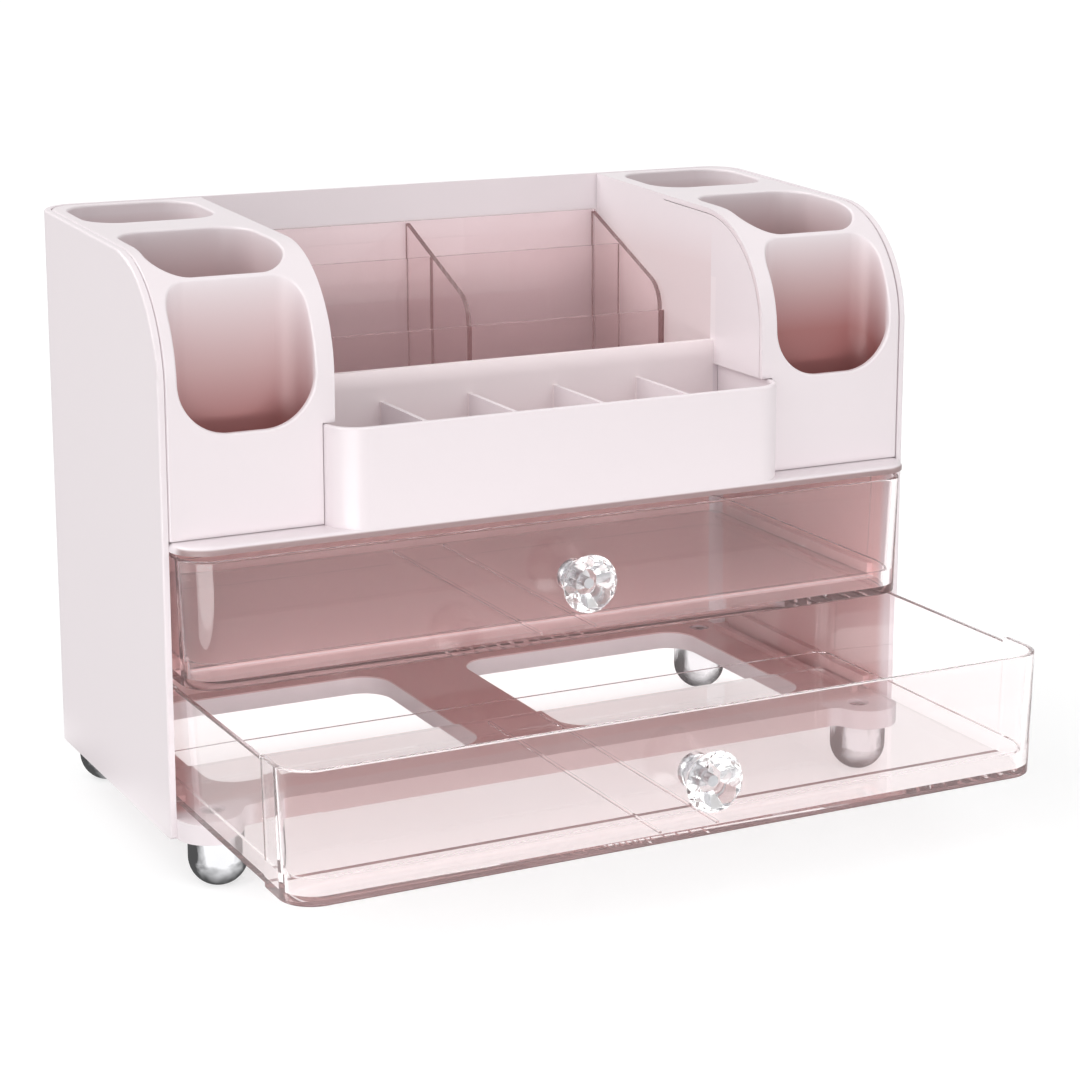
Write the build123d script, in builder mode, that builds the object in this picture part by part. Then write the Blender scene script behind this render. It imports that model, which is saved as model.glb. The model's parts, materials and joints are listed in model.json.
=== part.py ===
from build123d import *
from math import atan2, cos, pi, radians, sin, sqrt, tan
import os

os.makedirs("parts", exist_ok=True)

# Makeup organizer, in millimetres. X runs to the right, Y to the back and Z up.
# The origin is on the surface that the feet stand on, under the middle of the
# object as it stands with its lower drawer pulled out.

# Cabinet shell
width = 310.0
depth = 139.0
height = 212.0
wall = 2.5
top_slope = 2.5
front_radius = 45.0
rear_corner = 14.0
rear_bottom_radius = 5.0
shell_round = 0.8
seam = 0.3

# How far a cut runs on past what it cuts, and how near two places count as one
cut_margin = 1.0
same_place = 0.01

# Feet and their screws
foot_diameter = 22.0
foot_height = 18.8
foot_flat = 8.0
foot_inset = 18.0
front_foot_setback = 0.4
rear_foot_inset = 11.0
screw_diameter = 4.0
screw_clearance = 0.05
screw_head_diameter = 8.0
screw_head_height = 2.4
screw_grip = 8.0
screw_end_gap = 0.5
recess_width = 0.9
recess_length = 4.6
recess_depth = 1.0

# How far the ledge, the drawer fronts and the foot bosses stand before the cabinet
nose = 13.0

# Base panel
base_thickness = 7.5
rail_nose = 1.5
boss_blend = 5.0
cutout_near_x = 18.0
cutout_side_gap = 24.5
cutout_front = 22.5
cutout_rear_gap = 7.5
cutout_corner = 13.0
head_clearance = 0.4
head_recess = 3.2

# Drawer slots: glides under the drawers and guide ribs beside them
glide_width = 3.0
glide_inset = 7.0
base_glide_height = 2.2
guide_height = 5.0
guide_gap = 0.35
slide_gap = 0.3
guide_rear_gap = 1.5

# Drawers
drawer_pitch = 47.8
drawer_height = 44.2
drawer_rear_gap = 2.5
drawer_side_gap = 3.4
drawer_draft = 1.5
drawer_wall = 2.0
drawer_floor = 2.0
drawer_rear_corner = 8.0
front_length = 25.0
front_step = 0.6
front_drop = 0.8
front_rise = 1.7
front_corner = 12.5
ledge_height = 8.5
ledge_width = 1.2
floor_rib_x = 11.5
floor_rib_width = 1.0
floor_rib_height = 0.8
drawer_pull = 91.0

# Shelf between the drawers
shelf_thickness = 1.8
shelf_lift = 54.7
stop_gap = 0.4

# Knobs: a faceted clear crystal on a round collar
knob_diameter = 22.0
knob_rise = 2.2
collar_diameter = 13.0
collar_length = 4.0
collar_round = 0.8
pavilion_length = 9.6
pavilion_seat = 4.6
girdle_thickness = 0.9
crown_height = 3.5
table_radius = 8.0
facet_count = 8
break_facet_turn = 11.0
main_facet_turn = 9.0
break_facet_reach = 0.985
bore_depth = 6.0

# Deck, ledge and front bin
deck_level = 109.0
deck_thickness = 3.0
ledge_round = 2.0
bin_overhang = 4.5
bin_wall = 2.3
bin_setback = 0.5
bin_rim = 37.0
bin_rim_round = 0.8
bin_depth = 37.0
divider_thickness = 1.8
divider_drop = 2.0
divider_near_x = 18.2
divider_far_x = 54.6

# Centre bay behind the bin
bay_half_width = 89.0
bay_wall = 2.0
bay_floor = 2.0
step_thickness = 2.5
step_height = 47.0
open_seam_length = 78.0

# Towers with three pockets each
skin = 2.0
pocket_wall = 1.8
pocket_side_gap = 5.0
pocket_floor = 2.0
pocket_corner = 13.0
rear_pocket_length = 41.5
rear_pocket_gap = 4.0
middle_pocket_front = 19.5
middle_pocket_back = 71.0
front_pocket_back = 17.0
front_pocket_corner = 9.0
front_pocket_sill = 37.0
front_pocket_round = 19.0
lip_round = 0.9

# Clear tray in the bay
sheet = 2.0
tray_side_gap = 1.6
tray_back_gap = 0.5
tray_depth = 62.0
tray_height = 85.7
tray_front_height = 51.2
tray_cross_inset = 25.0
tray_slope = 23.1
tray_round = 12.5
tray_lift_gap = 0.3

# Places that follow from the sizes above
knob_reach = collar_length + pavilion_length + girdle_thickness + crown_height
front_y = (nose + drawer_pull + knob_reach - depth) / 2
back_y = front_y + depth
inner_back = back_y - wall
inner_half = width / 2 - wall
inner_corner = rear_corner - wall
base_z = foot_height
top_z = base_z + height
slope_rise = tan(radians(top_slope))
slope_stretch = 1 / cos(radians(top_slope))
nose_y = front_y - nose
nose_x = inner_half - nose
foot_x = width / 2 - foot_inset

deck_top = base_z + deck_level
deck_bottom = deck_top - deck_thickness
bin_top = deck_top + bin_rim
bin_half_width = bay_half_width + bin_overhang
bin_inner_half = bin_half_width - bin_wall
bin_front = nose_y + bin_setback
bin_corner = nose - bin_setback
step_y = front_y + bin_depth
bay_outer_half = bay_half_width + bay_wall
bay_back = inner_back - seam

lower_bottom = base_z + base_thickness + base_glide_height + slide_gap
upper_bottom = lower_bottom + drawer_pitch
drawer_half = inner_half - drawer_side_gap
drawer_spread = drawer_height * tan(radians(drawer_draft))
shelf_bottom = base_z + shelf_lift
shelf_top = shelf_bottom + shelf_thickness
shelf_front = nose_y + front_length + stop_gap
guide_x = drawer_half + guide_height * tan(radians(drawer_draft)) + guide_gap
glide_x = drawer_half - glide_inset + glide_width / 2
knob_z = drawer_height / 2 + knob_rise
shank_radius = screw_diameter / 2
bore_radius = shank_radius + screw_clearance


# A face with straight sides and a radius for each of its corners.
def rounded_face(corners, radii):
    with BuildSketch() as face:
        with BuildLine():
            FilletPolyline(*corners, radius=radii, close=True)
        make_face()
    return face.sketch


# The cabinet from the side, as (Y, Z): an upright front that rounds over into the sloping top.
def side_profile(inset, bottom, back, rear_round=0):
    front = front_y + inset
    drop = inset * slope_stretch
    front_top = top_z - (back_y - front) * slope_rise - drop
    back_top = top_z - (back_y - back) * slope_rise - drop
    corners = [(front, bottom), (front, front_top), (back, back_top), (back, bottom)]
    return rounded_face(corners, [0, front_radius - inset, 0, rear_round])


# How far a point of the skin's outline lies from the front, the arc or the top.
def skin_distance(point):
    front_top = top_z - depth * slope_rise
    arc_y = front_y + front_radius
    arc_z = front_top + front_radius * (slope_rise - slope_stretch)
    across = point.Y - arc_y
    up = point.Z - arc_z
    if up < 0:
        return abs(point.Y - front_y)
    if across < -up * slope_rise:
        return abs(front_radius - sqrt(across**2 + up**2))
    return abs(front_top + (point.Y - front_y) * slope_rise - point.Z) / slope_stretch


def lies_on_skin(edge):
    return all(skin_distance(edge @ part) < same_place for part in (0.25, 0.5, 0.75))


# A rectangle from its edges, with its two low and its two high corners rounded.
def rounded_box(left, right, low, high, low_round, high_round):
    corners = [(left, low), (left, high), (right, high), (right, low)]
    return rounded_face(corners, [low_round, high_round, high_round, low_round])


# A floor plan as wide to the left as to the right.
def even_plan(half, front, back, front_round, rear_round):
    return rounded_box(-half, half, front, back, front_round, rear_round)


# A floor plan that fills the shell between its walls.
def inner_plan(front):
    return even_plan(inner_half, front, inner_back, 0, inner_corner)


# Two strips that run to the back, one at each side.
def strip_pair(centre_x, strip_width):
    with BuildSketch() as strips:
        with Locations((-centre_x, guide_middle), (centre_x, guide_middle)):
            Rectangle(strip_width, guide_length)
    return strips.sketch


# Shell: both sides and the back, one moulding
with BuildPart() as outer_shell:
    with BuildSketch(Plane.XY.offset(base_z)) as footprint:
        with Locations((0, (front_y + back_y) / 2)):
            Rectangle(width, depth)
        fillet(footprint.vertices().group_by(Axis.Y)[-1], rear_corner)
        with Locations((0, inner_back - depth)):
            RectangleRounded(2 * inner_half, 2 * depth, inner_corner, mode=Mode.SUBTRACT)
    extrude(amount=height)
    with BuildSketch(Plane.YZ.offset(-width / 2)):
        add(side_profile(0, base_z, back_y, rear_bottom_radius))
    extrude(amount=width, mode=Mode.INTERSECT)
    rim_edges = outer_shell.edges().filter_by(lies_on_skin).filter_by(lambda e: abs((e @ 0.5).X) > inner_half)
    fillet(rim_edges, shell_round)
outer_shell.part.label = "outer_shell"
export_step(outer_shell.part, "parts/outer_shell.step")


# Base panel: two rounded cut-outs, bosses over the front feet, glides and guide ribs
rear_foot_y = back_y - rear_foot_inset
front_foot_y = front_y + front_foot_setback
foot_places = [
    ("front_left_foot", -foot_x, front_foot_y),
    ("front_right_foot", foot_x, front_foot_y),
    ("rear_left_foot", -foot_x, rear_foot_y),
    ("rear_right_foot", foot_x, rear_foot_y),
]
foot_points = [(x, y) for name, x, y in foot_places]
base_top = base_z + base_thickness
rail_y = front_y - rail_nose
cutout_far_x = inner_half - cutout_side_gap
cutout_rear = depth - wall - cutout_rear_gap
cutout_width = cutout_far_x - cutout_near_x
cutout_x = (cutout_far_x + cutout_near_x) / 2
cutout_y = front_y + (cutout_front + cutout_rear) / 2
guide_front = shelf_front + stop_gap
guide_back = inner_back - inner_corner - guide_rear_gap
guide_middle = (guide_front + guide_back) / 2
guide_length = guide_back - guide_front
guide_centre_x = (guide_x + inner_half) / 2


with BuildPart() as base_panel:
    with BuildSketch(Plane.XY.offset(base_z)) as plate:
        add(inner_plan(front_y))
        with Locations((0, front_y - rail_nose / 2)):
            Rectangle(2 * nose_x, rail_nose)
        with Locations((-nose_x, front_y), (nose_x, front_y)):
            Circle(nose)
        inner_corners = plate.vertices().filter_by(lambda v: abs(v.Y - rail_y) < same_place and abs(v.X) < nose_x)
        fillet(inner_corners, boss_blend)
        with Locations((-cutout_x, cutout_y), (cutout_x, cutout_y)):
            RectangleRounded(cutout_width, cutout_rear - cutout_front, cutout_corner, mode=Mode.SUBTRACT)
    extrude(amount=base_thickness)
    with BuildSketch(Plane.XY.offset(base_top)):
        add(strip_pair(glide_x, glide_width))
    extrude(amount=base_glide_height)
    with BuildSketch(Plane.XY.offset(base_top)):
        add(strip_pair(guide_centre_x, inner_half - guide_x))
    extrude(amount=base_glide_height + slide_gap + guide_height)
    with Locations(*[(x, y, base_top) for x, y in foot_points]):
        CounterBoreHole(
            radius=bore_radius,
            counter_bore_radius=screw_head_diameter / 2 + head_clearance,
            counter_bore_depth=head_recess,
            depth=base_thickness,
        )
base_panel.part.label = "base_panel"
export_step(base_panel.part, "parts/base_panel.step")


# Feet: chrome domes, a short cylinder over a ball, with a small flat to stand on
foot_radius = foot_diameter / 2
ball_centre = sqrt(foot_radius**2 - (foot_flat / 2) ** 2)
head_seat = base_top - head_recess
for name, x, y in foot_places:
    with BuildPart() as foot:
        with BuildSketch(Plane.XZ.offset(-y)):
            with BuildLine():
                Line((x, 0), (x + foot_flat / 2, 0))
                RadiusArc((x + foot_flat / 2, 0), (x + foot_radius, ball_centre), -foot_radius)
                Line((x + foot_radius, ball_centre), (x + foot_radius, foot_height))
                Line((x + foot_radius, foot_height), (x, foot_height))
                Line((x, foot_height), (x, 0))
            make_face()
        revolve(axis=Axis((x, y, 0), (0, 0, 1)))
        with Locations((x, y, foot_height)):
            Hole(radius=bore_radius, depth=screw_grip)
    foot.part.label = name
    export_step(foot.part, "parts/" + name + ".step")


# Foot screws: pan heads let into the base panel, shanks up to the end of the feet's bores
with BuildPart() as foot_screws:
    shank_length = head_seat - base_z + screw_grip - screw_end_gap
    with Locations(*[(x, y, head_seat) for x, y in foot_points]):
        Cylinder(screw_head_diameter / 2, screw_head_height, align=(Align.CENTER, Align.CENTER, Align.MIN))
        Cylinder(shank_radius, shank_length, align=(Align.CENTER, Align.CENTER, Align.MAX))
    head_rims = foot_screws.edges().filter_by(GeomType.CIRCLE).group_by(Axis.Z)[-1]
    fillet(head_rims, recess_depth)
    with BuildSketch(Plane.XY.offset(head_seat + screw_head_height)):
        with Locations(*foot_points):
            Rectangle(recess_length, recess_width)
            Rectangle(recess_width, recess_length)
    extrude(amount=-recess_depth, mode=Mode.SUBTRACT)
foot_screws.part.label = "foot_screws"
export_step(foot_screws.part, "parts/foot_screws.step")


# Shelf: the floor of the upper drawer's slot, and the lower drawer's stop
with BuildPart() as drawer_shelf:
    with BuildSketch(Plane.XY.offset(shelf_bottom)):
        add(inner_plan(shelf_front))
    extrude(amount=shelf_thickness)
    with BuildSketch(Plane.XY.offset(shelf_top)):
        add(strip_pair(glide_x, glide_width))
    extrude(amount=upper_bottom - slide_gap - shelf_top)
    with BuildSketch(Plane.XY.offset(shelf_top)):
        add(strip_pair(guide_centre_x, inner_half - guide_x))
    extrude(amount=upper_bottom + guide_height - shelf_top)
drawer_shelf.part.label = "drawer_shelf"
export_step(drawer_shelf.part, "parts/drawer_shelf.step")


# Drawers: clear mouldings with a deeper front section, an inner ledge and two floor ribs
def make_drawer(bottom, pull):
    front = nose_y - pull
    step = front + front_length
    rear = inner_back - drawer_rear_gap - pull
    rim = bottom + drawer_height
    front_bottom = bottom - front_drop
    front_rim = rim + front_rise
    front_half = drawer_half + front_step
    inner_front = front + drawer_wall
    inner_rear = rear - drawer_wall
    floor_top = bottom + drawer_floor
    ledge_top = bottom + ledge_height
    ledge_half = drawer_half - drawer_wall - ledge_width
    mouth_half = drawer_half - drawer_wall
    mouth_top = front_rim + cut_margin
    mouth_round = front_corner - drawer_wall
    mouth_rear_round = drawer_rear_corner - drawer_wall
    draft = tan(radians(drawer_draft))
    with BuildPart() as drawer:
        with BuildSketch(Plane.XY.offset(front_bottom)):
            add(even_plan(front_half, front, step + front_corner, front_corner, 0))
        with BuildSketch(Plane.XY.offset(front_rim)):
            front_spread = (front_rim - front_bottom) * draft
            add(even_plan(front_half + front_spread, front, step + front_corner, front_corner, 0))
        loft()
        split(bisect_by=Plane.XZ.offset(-step), keep=Keep.TOP)
        with BuildSketch(Plane.XY.offset(bottom)):
            add(even_plan(drawer_half, step - front_corner, rear, 0, drawer_rear_corner))
        with BuildSketch(Plane.XY.offset(rim)):
            add(even_plan(drawer_half + drawer_spread, step - front_corner, rear, 0, drawer_rear_corner))
        loft()
        with BuildSketch(Plane.XY.offset(floor_top)):
            pan_front = inner_front + ledge_width
            pan_rear = inner_rear - ledge_width
            add(even_plan(ledge_half, pan_front, pan_rear, mouth_round - ledge_width, mouth_rear_round - ledge_width))
        extrude(amount=mouth_top - floor_top, mode=Mode.SUBTRACT)
        with BuildSketch(Plane.XY.offset(ledge_top)):
            add(even_plan(mouth_half, inner_front, inner_rear, mouth_round, mouth_rear_round))
        with BuildSketch(Plane.XY.offset(mouth_top)):
            mouth_spread = (mouth_top - ledge_top) * draft
            add(even_plan(mouth_half + mouth_spread, inner_front, inner_rear, mouth_round, mouth_rear_round))
        loft(mode=Mode.SUBTRACT)
        with BuildSketch(Plane.XY.offset(floor_top)):
            rib_middle = (pan_front + pan_rear) / 2
            with Locations((-floor_rib_x, rib_middle), (floor_rib_x, rib_middle)):
                Rectangle(floor_rib_width, pan_rear - pan_front)
        extrude(amount=floor_rib_height)
        with BuildSketch(Plane.XZ.offset(-front)):
            with Locations((0, bottom + knob_z)):
                Circle(bore_radius)
        extrude(amount=-drawer_wall, mode=Mode.SUBTRACT)
    return drawer


drawers = [("upper", upper_bottom, 0.0), ("lower", lower_bottom, drawer_pull)]
for name, bottom, pull in drawers:
    drawer = make_drawer(bottom, pull)
    drawer.part.label = name + "_drawer"
    export_step(drawer.part, "parts/" + name + "_drawer.step")


# Knobs: a plane on the drawer's front, looking out of it, carries each piece
def knob_plane(bottom, pull):
    return Plane(origin=(0, nose_y - pull, bottom + knob_z), x_dir=(1, 0, 0), z_dir=(0, -1, 0))


def facet_plane(seat, turn, tilt, radius, level):
    outward = Vector(cos(turn) * sin(tilt), sin(turn) * sin(tilt), cos(tilt))
    point = Vector(radius * cos(turn), radius * sin(turn), level)
    return Plane(origin=seat.from_local_coords(point), z_dir=seat.from_local_coords(outward) - seat.origin)


def make_crystal(seat):
    radius = knob_diameter / 2
    girdle_back = collar_length + pavilion_length
    girdle_front = girdle_back + girdle_thickness
    crown_tilt = atan2(crown_height, radius - table_radius)
    pavilion_tilt = pi - atan2(pavilion_length, radius - pavilion_seat)
    pitch = 2 * pi / facet_count
    with BuildPart() as crystal:
        with BuildSketch(seat.offset(collar_length)):
            Circle(radius)
        extrude(amount=knob_reach - collar_length)
        for index in range(facet_count):
            turn = index * pitch
            split(bisect_by=facet_plane(seat, turn, crown_tilt, radius, girdle_front), keep=Keep.BOTTOM)
            split(bisect_by=facet_plane(seat, turn, pavilion_tilt, radius, girdle_back), keep=Keep.BOTTOM)
        for index in range(2 * facet_count):
            turn = (index + 0.5) * pitch / 2
            steep = crown_tilt + radians(break_facet_turn)
            flat = pavilion_tilt - radians(main_facet_turn)
            reach = radius * break_facet_reach
            split(bisect_by=facet_plane(seat, turn, steep, reach, girdle_front), keep=Keep.BOTTOM)
            split(bisect_by=facet_plane(seat, turn, flat, reach, girdle_back), keep=Keep.BOTTOM)
        with BuildSketch(seat.offset(collar_length)):
            Circle(bore_radius)
        extrude(amount=bore_depth, mode=Mode.SUBTRACT)
    return crystal


def make_collar(seat):
    with BuildPart() as collar:
        with BuildSketch(seat):
            Circle(collar_diameter / 2)
            Circle(bore_radius, mode=Mode.SUBTRACT)
        extrude(amount=collar_length)
        outer_rim = collar.edges().filter_by(GeomType.CIRCLE).group_by(Axis.Y)[0].sort_by(SortBy.RADIUS)[-1]
        fillet(outer_rim, collar_round)
    return collar


def make_knob_screw(seat):
    inside = seat.offset(-drawer_wall)
    shank_length = drawer_wall + collar_length + bore_depth - screw_end_gap
    with BuildPart() as screw:
        with BuildSketch(inside):
            Circle(screw_head_diameter / 2)
        extrude(amount=-screw_head_height)
        fillet(screw.edges().filter_by(GeomType.CIRCLE).group_by(Axis.Y)[-1], recess_depth)
        with BuildSketch(inside):
            Circle(shank_radius)
        extrude(amount=shank_length)
        with BuildSketch(inside.offset(-screw_head_height)):
            Rectangle(recess_length, recess_width)
            Rectangle(recess_width, recess_length)
        extrude(amount=recess_depth, mode=Mode.SUBTRACT)
    return screw


knob_pieces = [("crystal", make_crystal), ("collar", make_collar), ("screw", make_knob_screw)]
for drawer_name, bottom, pull in drawers:
    for piece_name, make_piece in knob_pieces:
        piece = make_piece(knob_plane(bottom, pull))
        piece.part.label = drawer_name + "_knob_" + piece_name
        export_step(piece.part, "parts/" + piece.part.label + ".step")


# Deck: the roof over the drawers, with the rounded ledge and the front bin's wall
with BuildPart() as top_deck:
    with BuildSketch(Plane.XY.offset(deck_bottom)):
        add(inner_plan(front_y))
        with Locations((0, front_y - nose / 2)):
            Rectangle(2 * nose_x, nose)
        with Locations((-nose_x, front_y), (nose_x, front_y)):
            Circle(nose)
    extrude(amount=deck_thickness)
    ledge_edges = top_deck.edges().group_by(Axis.Z)[-1].filter_by(lambda e: (e @ 0.5).Y < front_y - same_place)
    fillet(ledge_edges, ledge_round)
    with BuildSketch(Plane.XY.offset(deck_bottom)):
        bin_back = step_y + step_thickness
        add(even_plan(bin_half_width, bin_front, bin_back, bin_corner, 0))
        add(even_plan(bin_inner_half, bin_front + bin_wall, bin_back, bin_corner - bin_wall, 0), mode=Mode.SUBTRACT)
    extrude(amount=deck_thickness + bin_rim)
    rim_edges = top_deck.edges().group_by(Axis.Z)[-1].filter_by(lambda e: e.length > 2 * bin_wall)
    fillet(rim_edges, bin_rim_round)
top_deck.part.label = "top_deck"
export_step(top_deck.part, "parts/top_deck.step")


# Four thin dividers make five compartments in the front bin
divider_front = bin_front + bin_wall
divider_places = [-divider_far_x, -divider_near_x, divider_near_x, divider_far_x]
with BuildPart() as bin_dividers:
    with BuildSketch(Plane.XY.offset(deck_top)):
        with Locations(*[(x, (divider_front + step_y) / 2) for x in divider_places]):
            Rectangle(divider_thickness, step_y - divider_front)
    extrude(amount=bin_rim - divider_drop)
bin_dividers.part.label = "bin_dividers"
export_step(bin_dividers.part, "parts/bin_dividers.step")


# Centre bay: floor, step panel behind the bin, and side walls under the towers' edges
bay_floor_top = deck_top + bay_floor
cap_gap = skin + seam
with BuildPart() as centre_bay:
    for inner_x, outward in [(-bay_outer_half, 1), (bay_half_width, 1)]:
        with BuildSketch(Plane.YZ.offset(inner_x)):
            add(side_profile(cap_gap, bin_top + seam, bay_back))
        extrude(amount=bay_wall * outward)
        seat_front = front_y + open_seam_length
        seat_front_z = top_z - (back_y - seat_front) * slope_rise - skin * slope_stretch
        seat_back_z = top_z - (back_y - bay_back) * slope_rise - skin * slope_stretch
        with BuildSketch(Plane.YZ.offset(inner_x)):
            with BuildLine():
                Polyline(
                    (seat_front, seat_front_z - cap_gap), (seat_front, seat_front_z),
                    (bay_back, seat_back_z), (bay_back, seat_back_z - cap_gap), close=True,
                )
            make_face()
        extrude(amount=bay_wall * outward)
        with BuildSketch(Plane.YZ.offset(inner_x)):
            with Locations(((step_y + bay_back) / 2, (deck_top + bin_top + 2 * seam) / 2)):
                Rectangle(bay_back - step_y, bin_top - deck_top + 2 * seam)
        extrude(amount=bay_wall * outward)
    with BuildSketch(Plane.XY.offset(deck_top)):
        with Locations((0, (step_y + bay_back) / 2)):
            Rectangle(2 * bay_outer_half, bay_back - step_y)
    extrude(amount=bay_floor)
    with BuildSketch(Plane.XY.offset(deck_top)):
        with Locations((0, step_y + step_thickness / 2)):
            Rectangle(2 * bay_outer_half, step_thickness)
    extrude(amount=step_height)
centre_bay.part.label = "centre_bay"
export_step(centre_bay.part, "parts/centre_bay.step")


# Towers: a skin over three pockets, standing on the deck between the shell and the bay
tower_outer_x = inner_half - seam
tower_back = inner_back - seam
pocket_near_x = bay_outer_half + pocket_side_gap
pocket_far_x = inner_half - pocket_side_gap
rear_pocket_back = depth - wall - rear_pocket_gap
rear_pocket_front = rear_pocket_back - rear_pocket_length
pocket_width = pocket_far_x - pocket_near_x
pocket_x = (pocket_far_x + pocket_near_x) / 2
floor_z = deck_top + pocket_floor
above_top = top_z + cut_margin
deep_pockets = [(middle_pocket_front, middle_pocket_back), (rear_pocket_front, rear_pocket_back)]
with BuildPart() as right_tower:
    with BuildSketch(Plane.XY.offset(deck_top)):
        for front, back in deep_pockets:
            with Locations((pocket_x, front_y + (front + back) / 2)):
                RectangleRounded(
                    pocket_width + 2 * pocket_wall, back - front + 2 * pocket_wall, pocket_corner + pocket_wall,
                )
    extrude(amount=above_top - deck_top)
    with BuildSketch(Plane.XY.offset(deck_top)):
        outer_back = front_y + front_pocket_back + pocket_wall
        outer_round = front_pocket_corner + pocket_wall
        add(rounded_box(pocket_near_x - pocket_wall, pocket_far_x + pocket_wall, front_y, outer_back, 0, outer_round))
    extrude(amount=above_top - deck_top)
    with BuildSketch(Plane.YZ.offset(bay_half_width)):
        add(side_profile(skin / 2, deck_top, tower_back))
    extrude(amount=tower_outer_x - bay_half_width, mode=Mode.INTERSECT)
    with BuildSketch(Plane.YZ.offset(bay_half_width)):
        add(side_profile(0, deck_top + seam, tower_back))
        add(side_profile(skin, deck_bottom, tower_back + skin), mode=Mode.SUBTRACT)
    extrude(amount=tower_outer_x - bay_half_width)
    rear_edge = right_tower.edges().filter_by(Axis.Z).filter_by(
        lambda e: abs((e @ 0.5).X - tower_outer_x) < same_place and abs((e @ 0.5).Y - tower_back) < same_place
    )
    fillet(rear_edge, inner_corner - seam)
    with BuildSketch(Plane.XZ.offset(-front_y + cut_margin)):
        notch_width = bin_half_width + seam - bay_half_width
        with Locations((bay_half_width + notch_width / 2, (deck_bottom + bin_top + seam) / 2)):
            Rectangle(notch_width, bin_top + seam - deck_bottom)
    extrude(amount=-(skin + 2 * cut_margin), mode=Mode.SUBTRACT)
    with BuildSketch(Plane.XY.offset(floor_z)):
        for front, back in deep_pockets:
            with Locations((pocket_x, front_y + (front + back) / 2)):
                RectangleRounded(pocket_width, back - front, pocket_corner)
        room_front = front_y + skin
        room_back = front_y + front_pocket_back
        add(rounded_box(pocket_near_x, pocket_far_x, room_front, room_back, 0, front_pocket_corner))
    extrude(amount=above_top - floor_z, mode=Mode.SUBTRACT)
    with BuildSketch(Plane.XZ.offset(-front_y - skin)):
        sill_z = deck_top + front_pocket_sill
        add(rounded_box(pocket_near_x, pocket_far_x, sill_z, above_top, front_pocket_round, 0))
    extrude(amount=skin + cut_margin, mode=Mode.SUBTRACT)
    lip_edges = right_tower.edges().filter_by(lies_on_skin).filter_by(
        lambda e: pocket_near_x - same_place < (e @ 0.5).X < pocket_far_x + same_place and (e @ 0.5).Z > floor_z
    )
    fillet(lip_edges, lip_round)
right_tower.part.label = "right_tower"
export_step(right_tower.part, "parts/right_tower.step")

with BuildPart() as left_tower:
    mirror(right_tower.part, about=Plane.YZ)
left_tower.part.label = "left_tower"
export_step(left_tower.part, "parts/left_tower.step")


# Clear tray: bonded sheets that lift out of the bay together
tray_half = bay_half_width - tray_side_gap
tray_back = inner_back - tray_back_gap
tray_front = tray_back - tray_depth
tray_bottom = bay_floor_top + tray_lift_gap
sheet_foot = tray_bottom + sheet
cross_y = tray_back - tray_cross_inset
tray_rise = tan(radians(tray_slope))
tray_top = tray_bottom + tray_height


def tray_profile_height(y):
    return tray_top - (tray_back - y) * tray_rise


def draw_upright(x_from, x_to, y_from, y_to):
    with Locations(((x_from + x_to) / 2, (y_from + y_to) / 2)):
        Rectangle(x_to - x_from, y_to - y_from)


with BuildPart() as tray_floor:
    with BuildSketch(Plane.XY.offset(tray_bottom)):
        draw_upright(-tray_half, tray_half, tray_front, tray_back)
    extrude(amount=sheet)
tray_floor.part.label = "tray_floor"
export_step(tray_floor.part, "parts/tray_floor.step")

with BuildPart() as tray_back_panel:
    with BuildSketch(Plane.XY.offset(sheet_foot)):
        draw_upright(-tray_half, tray_half, tray_back - sheet, tray_back)
    extrude(amount=tray_top - sheet_foot)
tray_back_panel.part.label = "tray_back_panel"
export_step(tray_back_panel.part, "parts/tray_back_panel.step")

with BuildPart() as tray_front_panel:
    with BuildSketch(Plane.XY.offset(sheet_foot)):
        draw_upright(-tray_half, tray_half, tray_front, tray_front + sheet)
    extrude(amount=tray_bottom + tray_front_height - sheet_foot)
tray_front_panel.part.label = "tray_front_panel"
export_step(tray_front_panel.part, "parts/tray_front_panel.step")

with BuildPart() as tray_cross_panels:
    with BuildSketch(Plane.XY.offset(sheet_foot)):
        draw_upright(-(tray_half - sheet), -sheet / 2, cross_y - sheet, cross_y)
        draw_upright(sheet / 2, tray_half - sheet, cross_y - sheet, cross_y)
    extrude(amount=tray_profile_height(cross_y - sheet) - sheet_foot)
tray_cross_panels.part.label = "tray_cross_panels"
export_step(tray_cross_panels.part, "parts/tray_cross_panels.step")

upright_places = [
    ("tray_left_end", -tray_half),
    ("tray_centre_divider", -sheet / 2),
    ("tray_right_end", tray_half - sheet),
]
for name, x in upright_places:
    upright_front = tray_front + sheet
    upright_back = tray_back - sheet
    with BuildPart() as upright:
        with BuildSketch(Plane.YZ.offset(x)):
            corners = [
                (upright_front, sheet_foot), (upright_front, tray_profile_height(upright_front)),
                (upright_back, tray_profile_height(upright_back)), (upright_back, sheet_foot),
            ]
            add(rounded_face(corners, [0, tray_round, 0, 0]))
        extrude(amount=sheet)
    upright.part.label = name
    export_step(upright.part, "parts/" + name + ".step")
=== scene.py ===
import json
import math

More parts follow.
